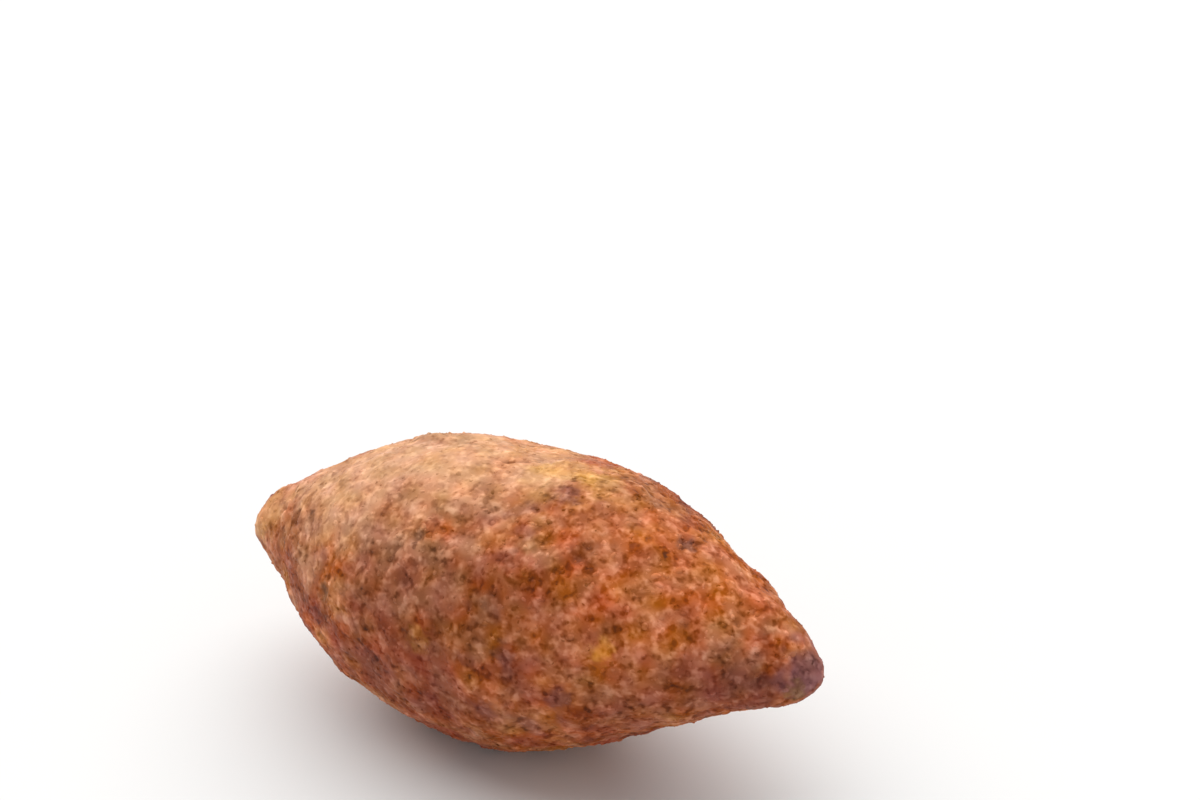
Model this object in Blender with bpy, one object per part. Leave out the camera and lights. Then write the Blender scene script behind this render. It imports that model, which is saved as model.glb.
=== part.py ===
"""One fried kibbeh: a spindle of bulgur and meat dough, shaped between the palms and deep fried.

It is one solid. The long axis lies along X, the blunt end at -X and the drawn-out end at +X, and
+Z is up. The belly rests on a small flat spot, and the origin is at the bottom centre of the
object's box. Run it with: blender --background --python part.py
"""

import math

import bmesh
import bpy
import numpy as np
from mathutils import Matrix, Vector, noise

# Driving dimensions, in metres
LENGTH = 0.0914  # from tip to tip
GIRTH = 0.0442  # diameter at the widest ring
WIDEST = 0.532  # where that ring is, as a share of the length from the blunt end
RESTING_DEPTH = 0.0004  # how far the frying basket has flattened the belly

# Each end tapers as (1 - out ** curve) ** slope, down to a rounded nose
BLUNT_END = {"curve": 3.15, "slope": 1.44, "nose_radius": 0.0037, "nose_length": 0.0016}
DRAWN_END = {"curve": 1.53, "slope": 1.18, "nose_radius": 0.0034, "nose_length": 0.0048}
TIP_REACH = 0.009  # length of each end over which what is done to its tip fades out
BLUNT_SLANT = 0.48  # the blunt tip's upper side stands back by this share of its height

# The middle line isn't straight: its height at even stations, blunt end first
LINE_HEIGHTS = (0.0018, -0.0012, -0.0012, -0.0009, 0.0016, 0.0023, 0.0003)
LINE_SWAY = 0.0006  # and it bows this far sideways, once each way

# Fingertips flatten each end on a few sides
PINCH_COUNT = 3
PINCH_DEPTH = 0.06  # as a share of the radius there
PINCH_REACH = 0.24  # share of the length over which the pinch fades out
PINCH_TURNS = (0.4, 1.9)  # where the flats of the blunt and of the drawn-out end lie, in radians

# Relief of the crust: wavelength and height of each kind of unevenness
PALM_FLATS = (0.0190, 0.00050)
FINGER_DENTS = (0.0085, 0.00045)
CRUST_LUMPS = (0.0052, 0.00030)
CRAGS = (0.0042, 0.00070)
CRAG_MIDDLE = 0.43  # mean distance to a crag's centre, so that crags add as much as they take
NOSE_RELIEF = 0.4  # share of the relief that is left on the worn tips

# The dough starts as a block with square ends, twice as long as it is wide
BLOCK_LENGTH = 2.0
FACES_ACROSS = 23  # faces across the block, so that each is about 1.5 mm wide on the crust

CRUST_BROWN = (0.330, 0.107, 0.044, 1.0)  # linear colour of the fried crust
CRUST_ROUGHNESS = 0.62


def clear_scene():
    """Remove every object, so that the scene holds only the kibbeh."""
    for old in list(bpy.data.objects):
        bpy.data.objects.remove(old, do_unlink=True)


def smooth_step(value):
    """0 to 1 with level ends."""
    value = min(1.0, max(0.0, value))
    return value * value * (3.0 - 2.0 * value)


def dough_block():
    """A long block cut into even squares, with its sides at 1 and its ends at BLOCK_LENGTH."""
    block = bmesh.new()
    bmesh.ops.create_cube(block, size=2.0, matrix=Matrix.Diagonal((BLOCK_LENGTH, 1.0, 1.0, 1.0)))
    long_edges = [edge for edge in block.edges if edge.verts[0].co.x * edge.verts[1].co.x < 0.0]
    bmesh.ops.subdivide_edges(block, edges=long_edges, cuts=int(BLOCK_LENGTH) - 1)
    bmesh.ops.subdivide_edges(block, edges=block.edges[:], cuts=FACES_ACROSS - 1, use_grid_fill=True)
    return block


def radius_at(share):
    """Radius of the spindle at a share of its length, counted from the blunt end."""
    if share < WIDEST:
        end, out, left = BLUNT_END, (WIDEST - share) / WIDEST, share * LENGTH
    else:
        end, out, left = DRAWN_END, (share - WIDEST) / (1.0 - WIDEST), (1.0 - share) * LENGTH
    taper = (1.0 - min(1.0, out) ** end["curve"]) ** end["slope"]
    nose = end["nose_radius"]
    rounding = 1.0 - min(1.0, left / end["nose_length"])
    return (nose + (GIRTH / 2 - nose) * taper) * math.sqrt(max(0.0, 1.0 - rounding**2))


def skin_table():
    """Shares of the length, and how far along the skin from the blunt tip each of them lies."""
    shares = (1.0 - np.cos(np.linspace(0.0, math.pi, 4000))) / 2.0
    radii = np.array([radius_at(share) for share in shares])
    steps = np.hypot(np.diff(shares * LENGTH), np.diff(radii))
    along = np.concatenate([[0.0], np.cumsum(steps)])
    return shares, along / along[-1]


def rolled_out(corner, shares, along):
    """Where a corner of the block's squares lies on the round spindle."""
    quarter = math.pi / 4
    lengthwise = math.tan(2.0 * quarter * corner.x / (1.0 + BLOCK_LENGTH))
    across = Vector((0.0, math.tan(quarter * corner.y), math.tan(quarter * corner.z)))
    from_blunt = math.atan2(across.length, -lengthwise) / math.pi
    share = float(np.interp(from_blunt, along, shares))
    across = across.normalized() * radius_at(share)
    return Vector((LENGTH * (share - 0.5), across.y, across.z))


def line_height(share):
    """Height of the middle line: a Catmull-Rom curve through LINE_HEIGHTS."""
    last = len(LINE_HEIGHTS) - 1
    place = min(max(share, 0.0), 1.0) * last
    first = min(int(place), last - 1)
    part = place - first
    before, low, high, after = (LINE_HEIGHTS[min(max(first + k, 0), last)] for k in (-1, 0, 1, 2))
    bend = (2.0 * before - 5.0 * low + 4.0 * high - after) * part
    twist = (3.0 * (low - high) + after - before) * part**2
    return low + 0.5 * part * (high - before + bend + twist)


def pinch(share, turn):
    """The radius that fingertips leave at an end, as a share of the round one."""
    change = 0.0
    for from_tip, phase in zip((share, 1.0 - share), PINCH_TURNS):
        fade = 1.0 - smooth_step(from_tip / PINCH_REACH)
        change += PINCH_DEPTH * fade * math.cos(PINCH_COUNT * turn + phase)
    return 1.0 + change


def shaped(point):
    """A point of the round spindle, moved to where the palms have left it."""
    share = point.x / LENGTH + 0.5
    across = Vector((0.0, point.y, point.z)) * pinch(share, math.atan2(point.z, point.y))
    pushed = across.z * BLUNT_SLANT * smooth_step(1.0 - (point.x + LENGTH / 2) / TIP_REACH)
    side = LINE_SWAY * math.sin(2.0 * math.pi * share)
    return Vector((point.x + pushed, across.y + side, across.z + line_height(share)))


def crust_height(point):
    """Height of the crust's relief at a point: broad flats, dents, lumps and crags."""
    flats = noise.noise(point / PALM_FLATS[0] + Vector((3.1, 0.7, 5.2))) * PALM_FLATS[1]
    dents = noise.noise(point / FINGER_DENTS[0] + Vector((8.4, 2.6, 1.3))) * FINGER_DENTS[1]
    lumps = noise.fractal(point / CRUST_LUMPS[0], 0.8, 2.0, 2) * CRUST_LUMPS[1]
    nearest = noise.voronoi(point / CRAGS[0] + Vector((1.9, 4.4, 0.6)))[0][0]
    crags = (CRAG_MIDDLE - nearest) * CRAGS[1]
    return flats + dents + lumps + crags


def work_dough(block):
    """Roll the block out, shape it and raise its crust along the skin's own direction."""
    shares, along = skin_table()
    for vertex in block.verts:
        vertex.co = shaped(rolled_out(vertex.co, shares, along))
    block.normal_update()
    normals = [vertex.normal.copy() for vertex in block.verts]
    for vertex, normal in zip(block.verts, normals):
        to_tip = min(vertex.co.x + LENGTH / 2, LENGTH / 2 - vertex.co.x)
        worn = NOSE_RELIEF + (1.0 - NOSE_RELIEF) * smooth_step(to_tip / TIP_REACH)
        vertex.co += normal * crust_height(vertex.co) * worn


def seat(block):
    """Flatten the belly where it rests, and bring the bottom centre of the box to the origin."""
    points = np.array([vertex.co for vertex in block.verts])
    floor = points[:, 2].min() + RESTING_DEPTH
    points[:, 2] = np.maximum(points[:, 2], floor)
    low, high = points.min(axis=0), points.max(axis=0)
    points -= [(low[0] + high[0]) / 2, (low[1] + high[1]) / 2, floor]
    for vertex, place in zip(block.verts, points):
        vertex.co = place


def crust_material():
    """Deep-fried crust: a warm matt brown with a little oil in it."""
    material = bpy.data.materials.new("fried_crust")
    material.use_nodes = True
    surface = material.node_tree.nodes["Principled BSDF"]
    surface.inputs["Base Color"].default_value = CRUST_BROWN
    surface.inputs["Roughness"].default_value = CRUST_ROUGHNESS
    surface.inputs["Metallic"].default_value = 0.0
    return material


def build():
    """Make the kibbeh and put it in its own collection."""
    clear_scene()
    block = dough_block()
    work_dough(block)
    seat(block)
    mesh = bpy.data.meshes.new("kibbeh")
    block.to_mesh(mesh)
    block.free()
    mesh.shade_smooth()
    mesh.materials.append(crust_material())
    collection = bpy.data.collections.new("fried_kibbeh")
    bpy.context.scene.collection.children.link(collection)
    collection.objects.link(bpy.data.objects.new("kibbeh", mesh))


build()
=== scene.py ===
# %% [markdown]
# # Dressing one fried kibbeh
# A kibbeh of this kind is a dumpling of fine bulgur wheat and pounded meat, rolled between the
# palms into a spindle and deep fried. The solid gives its form. What is left to do here is what
# the eye reads as fried dough: the bulgur grains that stand out of the crust, the pits and cracks
# between them, the way the browning changes from patch to patch, and soft studio light on it.
# Lengths are written in millimetres, and the factor MM turns them into metres.

# %% Load the solid that everything is fitted to
import math

import bmesh
import bpy
import numpy as np
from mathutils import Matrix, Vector, noise
from mathutils.bvhtree import BVHTree


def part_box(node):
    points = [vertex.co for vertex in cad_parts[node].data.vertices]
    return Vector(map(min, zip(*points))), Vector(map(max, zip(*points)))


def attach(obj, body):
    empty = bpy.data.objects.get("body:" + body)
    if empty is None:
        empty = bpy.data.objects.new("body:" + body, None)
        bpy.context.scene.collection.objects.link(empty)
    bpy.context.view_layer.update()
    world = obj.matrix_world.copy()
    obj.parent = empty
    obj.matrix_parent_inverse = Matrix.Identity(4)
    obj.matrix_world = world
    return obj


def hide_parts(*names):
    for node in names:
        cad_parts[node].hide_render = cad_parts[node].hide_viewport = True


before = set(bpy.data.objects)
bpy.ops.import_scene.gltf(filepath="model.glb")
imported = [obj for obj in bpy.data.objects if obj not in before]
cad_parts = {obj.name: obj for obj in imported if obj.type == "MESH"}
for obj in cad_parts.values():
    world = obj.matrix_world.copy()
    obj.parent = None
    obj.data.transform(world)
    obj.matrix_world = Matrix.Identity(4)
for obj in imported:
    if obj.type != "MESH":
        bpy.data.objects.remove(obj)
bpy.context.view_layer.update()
MM = 0.001
low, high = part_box("kibbeh")
length = high.x - low.x
middle_height = (low.z + high.z) / 2
print("kibbeh, mm:", [round(side / MM, 1) for side in high - low])

# %% [markdown]
# ## The camera
# The photograph looks down on the piece from its blunt end's side: the drawn-out tip comes
# towards the lens and the blunt one turns away. A long lens keeps both ends nearly the same
# size. The piece lies low and to the left in the picture, so the camera is aimed past it, up and
# to the right, and needs no lens shift.

# %% Set up the camera
CAMERA_TURN = 27.66  # degrees round the piece from its side
CAMERA_RISE = 30.0  # degrees above the horizon
CAMERA_DISTANCE = 431.6 * MM
CAMERA_LENS = 90.0  # millimetres
CAMERA_SENSOR = 36.0  # its width, in millimetres
CAMERA_NEAR = 0.01  # the nearest that it sees, in metres
CAMERA_FAR = 20.0
AIM_HEIGHT = 22.3 * MM  # about half the piece's height; the aim is moved from there
AIM_RIGHT = 10.0 * MM
AIM_UP = 28.35 * MM


def make_camera():
    """Place the camera where the photograph was taken from."""
    turn, rise = math.radians(CAMERA_TURN), math.radians(CAMERA_RISE)
    back = Vector((
        math.sin(turn) * math.cos(rise), -math.cos(turn) * math.cos(rise), math.sin(rise)))
    right = Vector((math.cos(turn), math.sin(turn), 0.0))
    aim = Vector((0.0, 0.0, AIM_HEIGHT)) + right * AIM_RIGHT + back.cross(right) * AIM_UP
    data = bpy.data.cameras.new("studio_camera")
    data.lens = CAMERA_LENS
    data.sensor_width = CAMERA_SENSOR
    data.clip_start = CAMERA_NEAR
    data.clip_end = CAMERA_FAR
    camera = bpy.data.objects.new("studio_camera", data)
    camera.location = aim + back * CAMERA_DISTANCE
    camera.rotation_mode = "QUATERNION"
    camera.rotation_quaternion = back.to_track_quat("Z", "Y")
    bpy.context.scene.collection.objects.link(camera)
    bpy.context.scene.camera = camera
    return camera


camera = make_camera()
print("camera at, mm:", [round(value / MM) for value in camera.location])

# %% [markdown]
# ## Colours and nodes
# Colours are picked as sRGB hex values, as a colour picker shows them, and one function turns
# them into the linear values that a shader counts in. Another adds a node, sets its sockets and
# links what is given as a socket, so that a material reads from top to bottom.

# %% Two small helpers for every material


def linear(hex_colour):
    """The linear RGBA values of an sRGB hex colour, with the sRGB standard's own numbers."""
    parts = [int(hex_colour[place:place + 2], 16) / 255 for place in (1, 3, 5)]
    return tuple(
        part / 12.92 if part <= 0.04045 else ((part + 0.055) / 1.055) ** 2.4 for part in parts
    ) + (1.0,)


def add(tree, kind, inputs=None, **settings):
    """Add a shader node: settings are its properties, and inputs are values or sockets to link."""
    node = tree.nodes.new("ShaderNode" + kind)
    for name, value in settings.items():
        setattr(node, name, value)
    for socket, value in (inputs or {}).items():
        if isinstance(value, bpy.types.NodeSocket):
            tree.links.new(value, node.inputs[socket])
        else:
            node.inputs[socket].default_value = value
    return node


print("fried brown, linear:", [round(value, 3) for value in linear("#a55f41")])

# %% [markdown]
# ## Light and floor
# The light in the photograph is broad and soft. It comes from above and behind the blunt end: the
# top is pale, the side towards the lens is in half shade, and nothing throws a hard edge. A sun
# with a very wide disc does that, and a white world fills in the rest. The floor is matt white
# paper, as in a product studio, and it throws a good deal of light back under the piece.

# %% Light the studio and lay the floor
SUN_TURN = 135.0  # degrees from +X towards +Y
SUN_RISE = 60.0  # degrees above the horizon
SUN_DISC = 95.0  # degrees across, so wide that its shadows have no edge
SUN_STRENGTH = 2.85
SKY_STRENGTH = 0.50
FLOOR_SIDE = 6.0  # metres
PAPER_WHITE = "#e6e6e5"
PAPER_ROUGHNESS = 0.9
PAPER_SHINE = 0.2


def make_light():
    """One wide sun and an even white sky."""
    turn, rise = math.radians(SUN_TURN), math.radians(SUN_RISE)
    towards = Vector((
        math.cos(turn) * math.cos(rise), math.sin(turn) * math.cos(rise), math.sin(rise)))
    data = bpy.data.lights.new("window_light", "SUN")
    data.energy = SUN_STRENGTH
    data.angle = math.radians(SUN_DISC)
    sun = bpy.data.objects.new("window_light", data)
    sun.rotation_mode = "QUATERNION"
    sun.rotation_quaternion = towards.to_track_quat("Z", "Y")
    bpy.context.scene.collection.objects.link(sun)
    world = bpy.data.worlds.new("white_studio")
    world.use_nodes = True
    sky = world.node_tree.nodes["Background"]
    sky.inputs["Color"].default_value = linear("#ffffff")
    sky.inputs["Strength"].default_value = SKY_STRENGTH
    bpy.context.scene.world = world
    return sun


def make_floor():
    """A wide sheet of matt white paper."""
    bpy.ops.mesh.primitive_plane_add(size=FLOOR_SIDE, location=(0.0, 0.0, 0.0))
    floor = bpy.context.object
    floor.name = "paper_floor"
    paper = bpy.data.materials.new("matt_white_paper")
    paper.use_nodes = True
    surface = paper.node_tree.nodes["Principled BSDF"]
    surface.inputs["Base Color"].default_value = linear(PAPER_WHITE)
    surface.inputs["Roughness"].default_value = PAPER_ROUGHNESS
    surface.inputs["Specular IOR Level"].default_value = PAPER_SHINE
    floor.data.materials.append(paper)


sun = make_light()
make_floor()
bpy.context.scene.view_settings.view_transform = "Standard"
print("sun strength:", sun.data.energy, "floor side, m:", FLOOR_SIDE)

# %% [markdown]
# ## The crust's mesh
# The crust follows the solid, but its grains are a millimetre across and the solid's faces are
# one and a half. Two rounds of Catmull-Clark subdivision give faces of about a third of a
# millimetre, enough to carve grains into. The triangles are paired into squares first, because
# squares subdivide into an even net.

# %% Make a fine copy of the solid
WELD = 0.01 * MM
FINER_LEVELS = 2


def fine_copy(node):
    """A new mesh on the node's surface, with faces about a third of a millimetre wide."""
    coarse = bmesh.new()
    coarse.from_mesh(node.data)
    bmesh.ops.remove_doubles(coarse, verts=coarse.verts[:], dist=WELD)
    bmesh.ops.join_triangles(
        coarse,
        faces=coarse.faces[:],
        angle_face_threshold=math.pi,
        angle_shape_threshold=math.pi,
    )
    mesh = bpy.data.meshes.new("coarse_crust")
    coarse.to_mesh(mesh)
    coarse.free()
    holder = bpy.data.objects.new("coarse_crust", mesh)
    bpy.context.scene.collection.objects.link(holder)
    finer = holder.modifiers.new("finer", "SUBSURF")
    finer.levels = finer.render_levels = FINER_LEVELS
    evaluated = holder.evaluated_get(bpy.context.evaluated_depsgraph_get())
    fine = bpy.data.meshes.new_from_object(evaluated)
    bpy.data.objects.remove(holder, do_unlink=True)
    bpy.data.meshes.remove(mesh)
    return fine


crust_mesh = fine_copy(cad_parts["kibbeh"])
crust_mesh.name = "crust"
print("crust faces:", len(crust_mesh.polygons))

# %% [markdown]
# ## Finding a place on the skin
# Anything that sits at a particular place is given by two numbers that a cook could point to:
# how far along the piece, as a share of its length from the blunt tip, and how far round it, in
# degrees, with 0 on the side towards the lens, 90 on top and 180 behind. A ray from the middle
# line finds the skin there.

# %% Turn a share and a turn into a point on the crust
skin = BVHTree.FromPolygons(
    [vertex.co for vertex in crust_mesh.vertices],
    [tuple(face.vertices) for face in crust_mesh.polygons],
)


def on_skin(share, turn):
    """The point on the skin at a share of the length and a turn round it, in millimetres."""
    angle = math.radians(turn)
    start = Vector((low.x + share * length, 0.0, middle_height))
    outwards = Vector((0.0, -math.cos(angle), math.sin(angle)))
    hit = skin.ray_cast(start, outwards)[0]
    return np.array(hit if hit is not None else start) / MM


print("top of the piece, mm:", on_skin(0.5, 90).round(1))

# %% Read the fine crust's points and directions
count = len(crust_mesh.vertices)
points = np.empty(count * 3)
crust_mesh.vertices.foreach_get("co", points)
points = points.reshape(-1, 3) / MM
normals = np.empty(count * 3)
crust_mesh.vertex_normals.foreach_get("vector", normals)
normals = normals.reshape(-1, 3)
vectors = [Vector(point) for point in points]
print("crust points:", count)


# %% Two shapes that the next steps share
def smooth_step(value):
    """0 to 1 with level ends, for arrays."""
    value = np.clip(value, 0.0, 1.0)
    return value * value * (3.0 - 2.0 * value)


def along(vectors, width, offset=0.0):
    """Soft noise of a given width at each point; the offset picks another stretch of it."""
    shift = Vector((offset, offset * 0.7, offset * 1.3))
    return np.array([noise.noise(point / width + shift) for point in vectors])


# %% [markdown]
# ## Browning and painted sheen, patch by patch
# Dough doesn't brown evenly. Where the piece stood out of the oil or touched its neighbour it
# stays tan, where meat lies at the surface it turns purple-brown, where bulgur lies there it goes
# gold, and thin spots scorch. The pale tan patches on the top and on the blunt tip are partly that
# and partly painted sheen: the pale that the soft light from above lays on the top, put into the
# colour. The small dark spots that lie on listed pits are partly painted shade of those pits. The
# patches and single spots of this piece are listed by where they are, how wide they are and their
# colour. The three past 180 degrees, on the back, are a guess. Each fades out along an edge that
# noise makes ragged.

# %% The patches that can be told apart
# Share, turn, radius in millimetres, colour and strength
# Pale tan patches on the top and blunt tip are partly painted sheen; dark spots on listed pits are
# partly painted shade
PATCHES_AND_PAINTED_SHEEN = [
    (0.50, 200, 20.0, "#934e30", 0.50),
    (0.26, 205, 13.0, "#a05a3a", 0.45),
    (0.80, 185, 13.0, "#9a5234", 0.45),
    (0.30, 88, 22.0, "#d6a37b", 0.80),
    (0.47, 96, 14.0, "#d89f73", 0.75),
    (0.28, 130, 12.0, "#b9835d", 0.50),
    (0.20, 60, 12.0, "#d29a73", 0.65),
    (0.10, 75, 6.5, "#d09a76", 0.65),
    (0.03, 30, 5.2, "#d79d6c", 0.75),
    (0.66, 94, 11.0, "#b36c3b", 0.65),
    (0.46, 78, 6.5, "#cc8e66", 0.60),
    (0.533, 90, 4.5, "#d8a266", 0.60),
    (0.590, 97, 4.0, "#d69e5c", 0.60),
    (0.625, 90, 3.5, "#d29858", 0.50),
    (0.38, 14, 12.5, "#8c482c", 0.42),
    (0.46, 28, 7.5, "#88462b", 0.60),
    (0.44, 45, 6.0, "#bd7850", 0.55),
    (0.35, 54, 7.0, "#b9754d", 0.55),
    (0.54, 30, 9.0, "#8c4a2a", 0.50),
    (0.65, 70, 5.0, "#a8603c", 0.35),
    (0.66, 28, 6.0, "#98522f", 0.40),
    (0.76, -5, 9.0, "#83452c", 0.45),
    (0.86, 98, 11.0, "#c86f3e", 0.65),
    (0.74, 50, 15.0, "#cb7245", 0.60),
    (0.78, 72, 11.0, "#d07843", 0.55),
    (0.592, 79, 2.1, "#82483c", 0.75),
    (0.655, 60, 2.3, "#7c4427", 0.50),
    (0.775, 86, 1.5, "#7c5a55", 0.50),
    (0.699, 45, 2.4, "#c26236", 0.50),
    (0.570, 47, 2.2, "#b04e32", 0.50),
    (0.420, 52, 2.6, "#c06036", 0.60),
    (0.397, 47, 1.3, "#6f4a40", 0.35),
    (0.336, 26, 6.5, "#92523c", 0.50),
    (0.128, 43, 1.6, "#744638", 0.55),
    (0.12, 10, 8.0, "#985130", 0.65),
    (0.234, 11, 1.6, "#5a3d2a", 0.55),
    (0.438, 9, 2.2, "#c88644", 0.60),
    (0.538, 29, 3.0, "#613326", 0.50),
    (0.581, 15, 2.0, "#735048", 0.45),
    (0.722, 24, 1.9, "#eda159", 0.80),
    (0.553, -13, 2.2, "#6c4c50", 0.45),
    (0.662, -2, 2.2, "#643c42", 0.45),
    (0.875, 44, 3.0, "#c98f66", 0.45),
    (0.905, 30, 5.0, "#7c4844", 0.45),
    (0.930, 18, 2.6, "#581f1e", 0.60),
    (0.953, 75, 2.6, "#c96331", 0.65),
    (0.985, 48, 5.0, "#7d5660", 0.70),
    (0.975, 5, 1.8, "#8a6a35", 0.50),
    (0.85, 0, 9.0, "#96543b", 0.35),
    (0.45, -25, 16.0, "#86462f", 0.45),
]
EDGE_RAGGEDNESS = 0.55  # how far noise pushes a patch's edge in and out, as a share of its radius
PATCH_REACH = 1.8  # a patch isn't worked out further than this many radii from its middle
EDGE_LEVEL = 1.45  # together with the fall: full up to 0.4 radii, gone at 1.2
EDGE_FALL = 1.2


def patch_tint(places):
    """Colour and strength of the listed patches at each place, in millimetres."""
    tint = np.zeros((len(places), 4))
    for share, turn, radius, colour, strength in PATCHES_AND_PAINTED_SHEEN:
        far = np.linalg.norm(places - on_skin(share, turn), axis=1) / radius
        near = np.flatnonzero(far < PATCH_REACH)
        spots = [Vector(places[spot]) for spot in near]
        ragged = along(spots, radius * 0.7, 6.0) + 0.6 * along(spots, radius * 0.3, 3.0)
        edge = smooth_step(EDGE_LEVEL - EDGE_FALL * (far[near] + EDGE_RAGGEDNESS * ragged))
        cover = (strength * edge)[:, None]
        tint[near, :3] = tint[near, :3] * (1.0 - cover) + np.array(linear(colour)[:3]) * cover
        tint[near, 3:] = tint[near, 3:] * (1.0 - cover) + cover
    tint[:, :3] /= np.maximum(tint[:, 3:], 0.001)
    return tint


PALE_GREEN = 0.22  # the linear green from which a patch counts as pale
PALE_SPAN = 0.18  # how much more of it makes the palest

crust_tint = patch_tint(points)
# How pale the patches make the crust: partly paler crust, partly painted sheen of the top light
paleness_and_sheen = smooth_step((crust_tint[:, 1] - PALE_GREEN) / PALE_SPAN) * crust_tint[:, 3]
print("patches:", len(PATCHES_AND_PAINTED_SHEEN), "mean cover:", crust_tint[:, 3].mean().round(2))
print("pale share of the crust:", (paleness_and_sheen > 0.5).mean().round(2))

# %% [markdown]
# ## Grains, lumps and pits
# Bulgur swells in the dough and dries out in the oil, so each grain near the surface stands up as
# a small dome with a groove round it. Cell noise gives such packed domes, and the nearest cell's
# own number decides how far each one stands out. Softer noise adds the lumps left by shaping, and
# the pits are where a grain has come out or steam has blown through. The pale patches, partly crust
# that has fried for less and partly painted sheen, get lower fine relief.

# %% Settings of the relief, in millimetres
GRAIN_WIDTH = 1.35
GRAIN_RISE = 0.23
GRAIN_MEAN = 0.3  # mean height of the grains, as a share of their rise; the crust sinks by it
DOME_REACH = 0.68  # radius of a grain's dome, as a share of its width
CELL_SPREAD = 517.0  # any large number; it keeps the cells' own numbers apart
GRAINY_WIDTH = 8.0  # width of the areas that are more or less grainy
LUMP_WIDTH = 3.4
LUMP_RISE = 0.16
CRUMB_WIDTH = 0.95
CRUMB_RISE = 0.08
PALE_SMOOTHNESS = 0.6  # share of the fine relief that the palest crust lacks
SEED = 11

# Pits: how many are strewn, their radii and depths, and the rim that the dough leaves round each
RANDOM_PITS = 420
PIT_RADII = (0.45, 0.95)
PIT_DEPTHS = (0.08, 0.26)
PIT_STEEPNESS = 1.2
RIM_HEIGHT = 0.25  # as a share of the pit's depth
RIM_PLACE = 1.7  # how far out it lies, in radii
RIM_STEEPNESS = 4.0
# Painted shade: a pit's floor is darkened by its depth, as shade falls in it
FULL_SHADE_DEPTH = 0.40  # a pit that is this deep is fully dark at its floor

# Pits that stand out, as share, turn, radius and depth
PITS = [
    (0.653, 56, 0.9, 0.50),
    (0.660, 62, 0.7, 0.40),
    (0.772, 87, 0.9, 0.30),
    (0.234, 11, 0.9, 0.40),
    (0.538, 29, 0.9, 0.35),
    (0.128, 43, 0.9, 0.40),
    (0.397, 47, 0.8, 0.35),
    (0.500, 60, 0.6, 0.35),
    (0.455, 83, 0.5, 0.35),
    (0.255, 70, 0.5, 0.30),
    (0.930, 18, 1.0, 0.40),
    (0.600, 40, 0.7, 0.30),
    (0.400, 30, 0.7, 0.30),
]

# Hairline cracks, as places that a line runs through, and the depth; the last two are a guess
CRACKS = [
    ([(0.452, 91), (0.475, 94), (0.509, 100)], 0.30),
    ([(0.462, 96), (0.490, 100), (0.530, 106)], 0.22),
    ([(0.515, 88), (0.520, 94), (0.518, 101)], 0.18),
    ([(0.560, 74), (0.585, 80), (0.610, 82)], 0.25),
    ([(0.350, 28), (0.362, 37), (0.368, 46)], 0.22),
    ([(0.700, 205), (0.740, 210), (0.775, 204)], 0.28),
    ([(0.300, 160), (0.340, 166), (0.365, 175)], 0.25),
]
CRACK_WIDTH = 0.30
DEEPEST_CRACK = 0.30
CRACK_WOBBLE = 0.35
WOBBLE_WIDTH = 1.1
coarseness = 1.0 - PALE_SMOOTHNESS * paleness_and_sheen
print("coarseness:", coarseness.min().round(2), "to", coarseness.max().round(2))

# %% Raise the grains
cells = [noise.voronoi(point / GRAIN_WIDTH) for point in vectors]
nearest = np.array([distances[0] for distances, centres in cells])
own_number = np.array([noise.cell(centres[0] * CELL_SPREAD) for distances, centres in cells])
own_number = (own_number - own_number.min()) / (own_number.max() - own_number.min())
dome = np.sqrt(np.clip(1.0 - (nearest / DOME_REACH) ** 2, 0.0, 1.0))
graininess = smooth_step(0.5 + 1.1 * along(vectors, GRAINY_WIDTH, 4.0))
# The lowest grain has a quarter of the rise, and the smoothest area a bit under half of it
grains = GRAIN_RISE * dome * (0.25 + 0.75 * own_number) * (0.45 + 0.55 * graininess)
print("grain relief, mm:", grains.min().round(3), grains.max().round(3))

# %% Add lumps and crumbs
lumps = LUMP_RISE * along(vectors, LUMP_WIDTH, 2.0)
crumbs = CRUMB_RISE * (
    along(vectors, CRUMB_WIDTH, 7.0) + 0.6 * along(vectors, CRUMB_WIDTH * 0.5, 9.0))
relief = (grains - GRAIN_RISE * GRAIN_MEAN + crumbs) * coarseness + lumps
print("relief, mm:", relief.min().round(3), relief.max().round(3))

# %% Sink the pits
random = np.random.default_rng(SEED)
pit_list = [(on_skin(share, turn), radius, depth) for share, turn, radius, depth in PITS]
for place in random.choice(count, RANDOM_PITS, replace=False):
    pit_list.append((points[place], random.uniform(*PIT_RADII), random.uniform(*PIT_DEPTHS)))
pit_shade = np.zeros(count)
for centre, radius, depth in pit_list:
    far = np.linalg.norm(points - centre, axis=1) / radius
    sunk = np.exp(-(far**2) * PIT_STEEPNESS)
    rim = RIM_HEIGHT * np.exp(-((far - RIM_PLACE) ** 2) * RIM_STEEPNESS)
    relief -= depth * (sunk - rim)
    # Painted shade at the pit's floor, darker the deeper the pit
    pit_shade = np.maximum(pit_shade, sunk * min(1.0, depth / FULL_SHADE_DEPTH))
print("pits:", len(pit_list))

# %% [markdown]
# ## Cracks
# Where the crust set before the dough under it had stopped swelling, it split along hairlines. A
# crack is a bent line on the skin. Each point of the crust near it sinks by how close it is, and
# a little noise in the distance keeps the line from looking ruled.

# %% Open the cracks
crack_floor = np.zeros(count)
wobble = CRACK_WOBBLE * along(vectors, WOBBLE_WIDTH, 5.0)
for places, depth in CRACKS:
    stops = [on_skin(share, turn) for share, turn in places]
    for start, end in zip(stops, stops[1:]):
        run = end - start
        part = np.clip((points - start) @ run / (run @ run), 0.0, 1.0)
        far = np.linalg.norm(points - start - part[:, None] * run, axis=1) + wobble
        near = np.exp(-((far / CRACK_WIDTH) ** 2))
        crack_floor = np.maximum(crack_floor, near * depth / DEEPEST_CRACK)
relief -= DEEPEST_CRACK * crack_floor
print("crack points:", int((crack_floor > 0.5).sum()))

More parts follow.
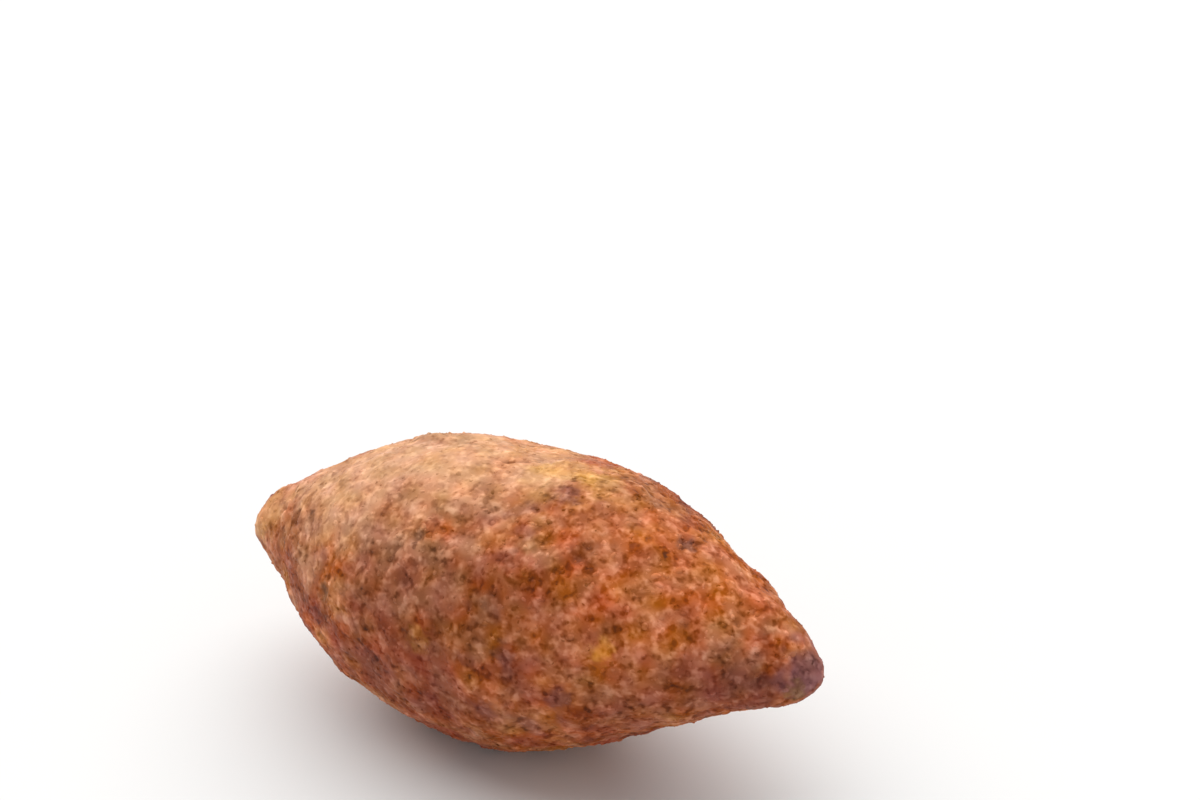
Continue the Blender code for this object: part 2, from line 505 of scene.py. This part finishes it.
# %% Move the crust's points and press the belly flat
BELLY_HEIGHT = 0.6  # the relief comes in over this height, as the basket pressed the belly flat
BELLY_FLAT = 0.2  # the share of that height below which there is no relief
FLOOR_GAP = 0.02  # no point of the crust is lower than this

resting = smooth_step((points[:, 2] - BELLY_HEIGHT * BELLY_FLAT) / BELLY_HEIGHT)
shaped = points + normals * (relief * resting)[:, None]
shaped[:, 2] = np.maximum(shaped[:, 2], FLOOR_GAP)
crust_mesh.vertices.foreach_set("co", (shaped * MM).ravel())
crust_mesh.shade_smooth()
crust_mesh.update()
print("crust box, mm:", shaped.min(axis=0).round(1), shaped.max(axis=0).round(1))

# %% Keep what the materials will read on the crust's points
def keep_values(mesh, name, values):
    """Keep one number for each point of a mesh, for its material to read."""
    mesh.attributes.new(name, "FLOAT", "POINT").data.foreach_set("value", values.astype(np.float32))


def keep_tint(mesh, tint):
    """Keep the patches' colour and strength on a mesh, for its material to read."""
    held = mesh.attributes.new("patch_tint", "FLOAT_COLOR", "POINT")
    held.data.foreach_set("color", tint.astype(np.float32).ravel())


# Painted shade: the grooves between the grains are made darker, where shade falls between them
GROOVE_PAINTED_SHADE = 0.25  # how much darker the grooves between the grains are

# Each grain's own tone, lighter or darker by its number, plus painted shade in the grooves between
# grains
grain_tone_and_groove_shade = dome * (own_number - 0.5) - GROOVE_PAINTED_SHADE * (1.0 - dome)
# Where the material paints shade: the floors of pits and cracks
hollow = np.clip(np.maximum(pit_shade * coarseness, crack_floor), 0.0, 1.0)
keep_tint(crust_mesh, crust_tint)
keep_values(crust_mesh, "grain_tone_and_groove_shade", grain_tone_and_groove_shade * coarseness)
keep_values(crust_mesh, "hollow", hollow)
keep_values(crust_mesh, "coarseness", coarseness)
print("grain shade:", grain_tone_and_groove_shade.min().round(2), "to", grain_tone_and_groove_shade.max().round(2))

# %% [markdown]
# ## Fried bulgur and meat dough
# The crust is dough whose outside has dried and browned in oil at about 180 degrees. It is matt,
# because it is full of small holes, with a little oil left in it: an IOR near that of oil, 1.47,
# and a roughness around 0.6. Its colour comes in layers, as it does in the pan: broad patches of
# red-brown and orange-brown, the named patches over them, meat where no patch lies, and flecks
# about a millimetre wide. Painted light is laid in with them: the pale named patches on top are
# partly painted sheen, the grooves between the grains get painted shade, and last the floors of
# pits and cracks get painted shade. The patches change the hue, but the flecks hardly do: they
# are the same crust, browned more or less, so they only make it lighter and paler or darker and
# fuller. All of it hangs on the piece's own coordinates, so it stays put when the view moves.

# %% Colours and surface of the crust
FRIED_COLOURS = {
    "red_brown": "#8e4228",
    "brown": "#a35533",
    "orange_brown": "#b66538",
    "tan": "#be7b4e",
    "purple": "#7e4a40",
    # The last colour is painted shade, for the floors of pits and cracks
    "painted_hollow_shade": "#552512",
}
OIL_IOR = 1.47
OIL_SHINE = 0.16  # the crust is so porous that it mirrors far less than a pool of oil would
CRUST_ROUGHNESS = 0.58
NOISE_LOW = 0.30  # a noise texture seldom goes below this
NOISE_HIGH = 0.70  # or above this


def cycles_per_metre(width):
    """The scale of a texture whose features are this many millimetres wide."""
    return 1.0 / (width * MM)


print("oil shine:", OIL_SHINE, "roughness:", CRUST_ROUGHNESS)

# %% Broad browning
BROAD_WIDTH = 8.0


def browning(tree, place, named):
    """Patches from red-brown to tan, with the named patches over them."""
    broad = add(tree, "TexNoise", {
        "Vector": place, "Scale": cycles_per_metre(BROAD_WIDTH), "Detail": 1.5, "Roughness": 0.5})
    patches = add(tree, "ValToRGB", {"Fac": broad.outputs["Fac"]})
    ramp = patches.color_ramp
    ramp.elements[0].position = 0.32
    ramp.elements[0].color = linear(FRIED_COLOURS["red_brown"])
    ramp.elements[1].position = 0.68
    ramp.elements[1].color = linear(FRIED_COLOURS["tan"])
    ramp.elements.new(0.45).color = linear(FRIED_COLOURS["brown"])
    ramp.elements.new(0.56).color = linear(FRIED_COLOURS["orange_brown"])
    return add(tree, "Mix", {
        0: named.outputs["Alpha"], 6: patches.outputs["Color"], 7: named.outputs["Color"],
    }, data_type="RGBA").outputs[2]


# %% Meat at the surface
MEAT_WIDTH = 4.5
MEAT_FROM = 0.56  # the noise value at which meat starts to show
MEAT_FULL = 0.70
MEAT_STRENGTH = 0.50


def with_meat(tree, place, named, colour):
    """Purple-brown meat, which shows wherever the named patches don't cover the crust."""
    meat = add(tree, "TexNoise", {
        "Vector": place, "Scale": cycles_per_metre(MEAT_WIDTH), "Detail": 1.0, "Distortion": 0.4})
    amount = add(tree, "MapRange", {
        "Value": meat.outputs["Fac"],
        "From Min": MEAT_FROM, "From Max": MEAT_FULL, "To Max": MEAT_STRENGTH})
    bare = add(tree, "Math", {0: 1.0, 1: named.outputs["Alpha"]}, operation="SUBTRACT")
    shown = add(tree, "Math", {
        0: amount.outputs["Result"], 1: bare.outputs["Value"]}, operation="MULTIPLY")
    return add(tree, "Mix", {
        0: shown.outputs["Value"], 6: colour, 7: linear(FRIED_COLOURS["purple"]),
    }, data_type="RGBA").outputs[2]


# %% Flecks of lighter and darker crust
FLECK_WIDTH = 1.25
FLECK_LIGHT = 0.44
FLECK_DARK = 0.40
LIGHT_FROM = 0.51  # the noise values between which a light fleck comes in
LIGHT_FULL = 0.69
DARK_FROM = 0.52  # and a dark one
DARK_FULL = 0.68
GRAIN_CONTRAST = 0.50


def flecks(tree, place):
    """How much lighter or darker the crust is, as a share, fleck by fleck."""
    cells = add(tree, "TexNoise", {
        "Vector": place, "Scale": cycles_per_metre(FLECK_WIDTH), "Detail": 1.5, "Roughness": 0.5})
    number = add(tree, "SeparateColor", {"Color": cells.outputs["Color"]})
    light = add(tree, "MapRange", {
        "Value": number.outputs[0],
        "From Min": LIGHT_FROM, "From Max": LIGHT_FULL, "To Max": FLECK_LIGHT})
    dark = add(tree, "MapRange", {
        "Value": number.outputs[1],
        "From Min": DARK_FROM, "From Max": DARK_FULL, "To Max": FLECK_DARK})
    fleck = add(tree, "Math", {
        0: light.outputs["Result"], 1: dark.outputs["Result"]}, operation="SUBTRACT")
    # The grains' own tone, with painted shade in the grooves between them
    grain = add(tree, "Attribute", attribute_name="grain_tone_and_groove_shade", attribute_type="GEOMETRY")
    return add(tree, "Math", {
        0: grain.outputs["Fac"], 1: GRAIN_CONTRAST, 2: fleck.outputs["Value"],
    }, operation="MULTIPLY_ADD").outputs["Value"]


# %% Tone: how light, how full and how red
BLOTCH_WIDTH = 3.4
DARKEST_BLOTCH = -0.19
LIGHTEST_BLOTCH = 0.20
REDDEST = 0.495  # 0.5 leaves the hue as it is
GOLDENEST = 0.505
LEAST_FULL = 0.96  # 1 leaves the fullness of the colour as it is
FULLEST = 1.06
PALER_WHEN_LIGHT = 0.20  # how much a lighter fleck loses of its fullness
GOLDEN_WHEN_LIGHT = 0.008  # how far a lighter fleck's hue goes towards gold


def toned(tree, place, colour, fleck):
    """The colour made lighter or darker by the flecks, in blotches that differ a little in hue."""
    blotches = add(tree, "TexNoise", {
        "Vector": place, "Scale": cycles_per_metre(BLOTCH_WIDTH), "Detail": 0.5})
    number = add(tree, "SeparateColor", {"Color": blotches.outputs["Color"]})
    level = add(tree, "MapRange", {
        "Value": number.outputs[0], "From Min": NOISE_LOW, "From Max": NOISE_HIGH,
        "To Min": DARKEST_BLOTCH, "To Max": LIGHTEST_BLOTCH})
    uneven = add(tree, "Math", {0: level.outputs["Result"], 1: fleck}, operation="ADD")
    coarse = add(tree, "Attribute", attribute_name="coarseness", attribute_type="GEOMETRY")
    value = add(tree, "Math", {
        0: uneven.outputs["Value"], 1: coarse.outputs["Fac"], 2: 1.0}, operation="MULTIPLY_ADD")
    redness = add(tree, "MapRange", {
        "Value": number.outputs[1], "From Min": NOISE_LOW, "From Max": NOISE_HIGH,
        "To Min": REDDEST, "To Max": GOLDENEST})
    hue = add(tree, "Math", {
        0: fleck, 1: GOLDEN_WHEN_LIGHT, 2: redness.outputs["Result"]}, operation="MULTIPLY_ADD")
    starch = add(tree, "MapRange", {
        "Value": number.outputs[2], "From Min": NOISE_LOW, "From Max": NOISE_HIGH,
        "To Min": LEAST_FULL + PALER_WHEN_LIGHT, "To Max": FULLEST + PALER_WHEN_LIGHT})
    fullness = add(tree, "Math", {
        0: value.outputs["Value"], 1: -PALER_WHEN_LIGHT, 2: starch.outputs["Result"],
    }, operation="MULTIPLY_ADD")
    return add(tree, "HueSaturation", {
        "Hue": hue.outputs["Value"],
        "Saturation": fullness.outputs["Value"],
        "Value": value.outputs["Value"],
        "Color": colour,
    }).outputs["Color"]


# %% Pits, cracks and what is left of the oil
HOLLOW_FROM = 0.15  # how hollow a place is when it starts to darken
HOLLOW_FULL = 0.9
# Painted shade: how far the floors of pits and cracks go towards that dark colour
HOLLOW_PAINTED_SHADE = 0.42
CRUMB_GRAIN = 0.60  # the finest crumbs, in millimetres
CRUMB_SHARE = 0.5  # their height as a share of the flecks'
FLECK_BUMP = 0.12 * MM  # height of the flecks that are too fine for the mesh
BUMP_STRENGTH = 0.8
OILED_FROM = 0.35  # the noise values between which the crust goes from dry to oiled
OILED_FULL = 0.65
OIL_UNEVENNESS = 0.12  # how much rougher the dry places are, and smoother the oiled ones


def finish_crust(tree, place, colour, fleck):
    """Paint shade into the hollows, raise the flecks and set the shine of the oil."""
    surface = tree.nodes["Principled BSDF"]
    hollow = add(tree, "Attribute", attribute_name="hollow", attribute_type="GEOMETRY")
    painted_shade = add(tree, "MapRange", {
        "Value": hollow.outputs["Fac"],
        "From Min": HOLLOW_FROM, "From Max": HOLLOW_FULL, "To Max": HOLLOW_PAINTED_SHADE})
    # Painted shade on the floors of pits and cracks
    with_painted_shade = add(tree, "Mix", {
        0: painted_shade.outputs["Result"], 6: colour, 7: linear(FRIED_COLOURS["painted_hollow_shade"]),
    }, data_type="RGBA")
    crumbs = add(tree, "TexNoise", {
        "Vector": place, "Scale": cycles_per_metre(CRUMB_GRAIN), "Detail": 1.0})
    height = add(tree, "Math", {
        0: crumbs.outputs["Fac"], 1: CRUMB_SHARE, 2: fleck}, operation="MULTIPLY_ADD")
    bump = add(tree, "Bump", {
        "Height": height.outputs["Value"], "Distance": FLECK_BUMP, "Strength": BUMP_STRENGTH})
    oiled = add(tree, "MapRange", {
        "Value": crumbs.outputs["Fac"], "From Min": OILED_FROM, "From Max": OILED_FULL,
        "To Min": CRUST_ROUGHNESS + OIL_UNEVENNESS, "To Max": CRUST_ROUGHNESS - OIL_UNEVENNESS})
    tree.links.new(with_painted_shade.outputs[2], surface.inputs["Base Color"])
    tree.links.new(oiled.outputs["Result"], surface.inputs["Roughness"])
    tree.links.new(bump.outputs["Normal"], surface.inputs["Normal"])
    surface.inputs["IOR"].default_value = OIL_IOR
    surface.inputs["Specular IOR Level"].default_value = OIL_SHINE


# %% Make the crust's material
def fried_dough(name):
    """A material of fried dough, with the sockets that its last layers are made from."""
    material = bpy.data.materials.new(name)
    material.use_nodes = True
    tree = material.node_tree
    place = add(tree, "TexCoord").outputs["Object"]
    named = add(tree, "Attribute", attribute_name="patch_tint", attribute_type="GEOMETRY")
    browned = with_meat(tree, place, named, browning(tree, place, named))
    fleck = flecks(tree, place)
    return material, place, toned(tree, place, browned, fleck), fleck


crust_material, place, colour, fleck = fried_dough("fried_crust")
finish_crust(crust_material.node_tree, place, colour, fleck)
crust_mesh.materials.clear()
crust_mesh.materials.append(crust_material)
crust = bpy.data.objects.new("crust", crust_mesh)
bpy.context.scene.collection.objects.link(crust)
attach(crust, "root")
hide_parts("kibbeh")
print("crust nodes:", len(crust_material.node_tree.nodes))

# %% [markdown]
# ## Loose grains at the surface
# The grains that stand furthest out are real pieces of their own: cracked wheat, a millimetre or
# so long, set most of their depth in the dough. Each kind is one mesh, made from arrays: a small
# ball is stretched, dented and turned for every grain, and all of them are joined.

# %% Scatter small pieces over the crust
LOWEST_PIECE = 1.2  # no loose piece sits lower than this, in millimetres
DENT_LIMIT = 1.5  # no dent is deeper than this many times the usual one


def small_ball(rounds):
    """Points and triangles of a ball: 20 triangles for one round, 80 for two."""
    ball = bmesh.new()
    bmesh.ops.create_icosphere(ball, subdivisions=rounds, radius=1.0)
    ball_points = np.array([vertex.co for vertex in ball.verts])
    ball_faces = np.array([[vertex.index for vertex in face.verts] for face in ball.faces])
    ball.free()
    return ball_points, ball_faces


def spaced_places(wanted, gap, draw):
    """Pick points of the crust in random order, none nearer to another than the gap."""
    taken = {}
    chosen = []
    for index in draw.permutation(count):
        if points[index, 2] < LOWEST_PIECE:
            continue
        cell = tuple(np.floor(points[index] / gap).astype(int))
        near = [
            other
            for step_x in (-1, 0, 1)
            for step_y in (-1, 0, 1)
            for step_z in (-1, 0, 1)
            for other in taken.get((cell[0] + step_x, cell[1] + step_y, cell[2] + step_z), ())
        ]
        if any(np.linalg.norm(points[index] - points[other]) < gap for other in near):
            continue
        taken.setdefault(cell, []).append(index)
        chosen.append(index)
        if len(chosen) == wanted:
            break
    return np.array(chosen)


def scatter(name, places, rounds, sizes, slimness, sunk, dents, material, draw):
    """Join one dented ball for each place into a mesh.

    Sizes are half lengths in millimetres. Slimness is the two other sides as a share of that, sunk
    is how far a ball's middle lies below the skin as a share of its half depth, and dents are a
    share of its radius.
    """
    ball_points, ball_faces = small_ball(rounds)
    total = len(places)
    out = normals[places]
    sideways = np.cross(out, draw.normal(size=(total, 3)))
    sideways /= np.linalg.norm(sideways, axis=1)[:, None]
    axes = np.stack([sideways, np.cross(out, sideways), out], axis=1)
    half = draw.uniform(*sizes, size=total)
    slim = draw.uniform(*slimness, size=(total, 2))
    scale = np.stack([half, half * slim[:, 0], half * slim[:, 1]], axis=1)
    uneven = draw.normal(size=(total, len(ball_points), 1)).clip(-DENT_LIMIT, DENT_LIMIT)
    lumpy = 1.0 + dents * uneven
    local = ball_points[None] * lumpy * scale[:, None]
    sink = draw.uniform(*sunk, size=total) * scale[:, 2]
    centres = shaped[places] - out * sink[:, None]
    corners = np.einsum("gvk,gkc->gvc", local, axes) + centres[:, None]
    faces = ball_faces[None] + (np.arange(total) * len(ball_points))[:, None, None]
    mesh = bpy.data.meshes.new(name)
    mesh.from_pydata((corners.reshape(-1, 3) * MM).tolist(), [], faces.reshape(-1, 3).tolist())
    mesh.shade_smooth()
    keep_values(mesh, "piece_tone", np.repeat(draw.random(total), len(ball_points)))
    keep_values(mesh, "coarseness", np.repeat(coarseness[places], len(ball_points)))
    keep_tint(mesh, np.repeat(crust_tint[places], len(ball_points), axis=0))
    mesh.materials.append(material)
    piece = bpy.data.objects.new(name, mesh)
    bpy.context.scene.collection.objects.link(piece)
    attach(piece, "root")
    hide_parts("kibbeh")
    print(name, total, "pieces,", len(mesh.polygons), "triangles")


# %% [markdown]
# ## Fried bulgur
# A grain's own starch browns to gold and tan before the meat round it does, so most grains are a
# shade lighter than the crust, and the rest a shade darker. The material takes the crust's colour
# at that spot and makes each grain as much lighter or darker as its own number says.

# %% Make the bulgur grains
BULGUR_COUNT = 1900
BULGUR_GAP = 1.2
BULGUR_HALF_LENGTHS = (0.45, 0.85)


def fried_pieces(name, darkest, lightest):
    """Material of loose pieces: the crust's colour there, times a number of each piece's own."""
    material, place, colour, fleck = fried_dough(name)
    tree = material.node_tree
    tone = add(tree, "Attribute", attribute_name="piece_tone", attribute_type="GEOMETRY")
    coarse = add(tree, "Attribute", attribute_name="coarseness", attribute_type="GEOMETRY")
    apart = add(tree, "MapRange", {
        "Value": tone.outputs["Fac"], "To Min": darkest - 1.0, "To Max": lightest - 1.0})
    value = add(tree, "Math", {
        0: apart.outputs["Result"], 1: coarse.outputs["Fac"], 2: 1.0}, operation="MULTIPLY_ADD")
    fullness = add(tree, "Math", {
        0: value.outputs["Value"], 1: -PALER_WHEN_LIGHT, 2: 1.0 + PALER_WHEN_LIGHT,
    }, operation="MULTIPLY_ADD")
    own = add(tree, "HueSaturation", {
        "Saturation": fullness.outputs["Value"], "Value": value.outputs["Value"], "Color": colour})
    finish_crust(tree, place, own.outputs["Color"], fleck)
    return material


bulgur_material = fried_pieces("fried_bulgur", darkest=0.88, lightest=1.20)
grain_draw = np.random.default_rng(SEED + 1)
scatter(
    "bulgur_grains",
    spaced_places(BULGUR_COUNT, BULGUR_GAP, grain_draw),
    rounds=2,
    sizes=BULGUR_HALF_LENGTHS,
    slimness=(0.55, 0.85),
    sunk=(0.64, 0.92),
    dents=0.09,
    material=bulgur_material,
    draw=grain_draw,
)

# %% [markdown]
# ## Crumbs of dough
# Between the grains the dough itself breaks up into crumbs of half a millimetre to a millimetre,
# mostly as dark as the crust or darker, because meat browns more deeply than wheat.

# %% Make the dough crumbs
CRUMB_COUNT = 4500
CRUMB_GAP = 0.80
CRUMB_HALF_LENGTHS = (0.26, 0.52)

crumb_material = fried_pieces("browned_dough", darkest=0.82, lightest=1.12)
crumb_draw = np.random.default_rng(SEED + 3)
scatter(
    "dough_crumbs",
    spaced_places(CRUMB_COUNT, CRUMB_GAP, crumb_draw),
    rounds=1,
    sizes=CRUMB_HALF_LENGTHS,
    slimness=(0.60, 0.95),
    sunk=(0.60, 0.92),
    dents=0.14,
    material=crumb_material,
    draw=crumb_draw,
)

# %% [markdown]
# ## Scorched crumbs
# Bits of meat and bran that stuck out burnt to a dark brown. They are what gives the crust its
# dark specks, and they are smaller than the grains and sit deeper.

# %% Make the scorched crumbs
SCORCHED_COUNT = 450
SCORCHED_GAP = 2.0
SCORCHED_HALF_LENGTHS = (0.30, 0.70)

scorched_material = fried_pieces("scorched_crumb", darkest=0.54, lightest=0.80)
scorched_draw = np.random.default_rng(SEED + 2)
scatter(
    "scorched_crumbs",
    spaced_places(SCORCHED_COUNT, SCORCHED_GAP, scorched_draw),
    rounds=2,
    sizes=SCORCHED_HALF_LENGTHS,
    slimness=(0.55, 0.90),
    sunk=(0.76, 0.96),
    dents=0.14,
    material=scorched_material,
    draw=scorched_draw,
)
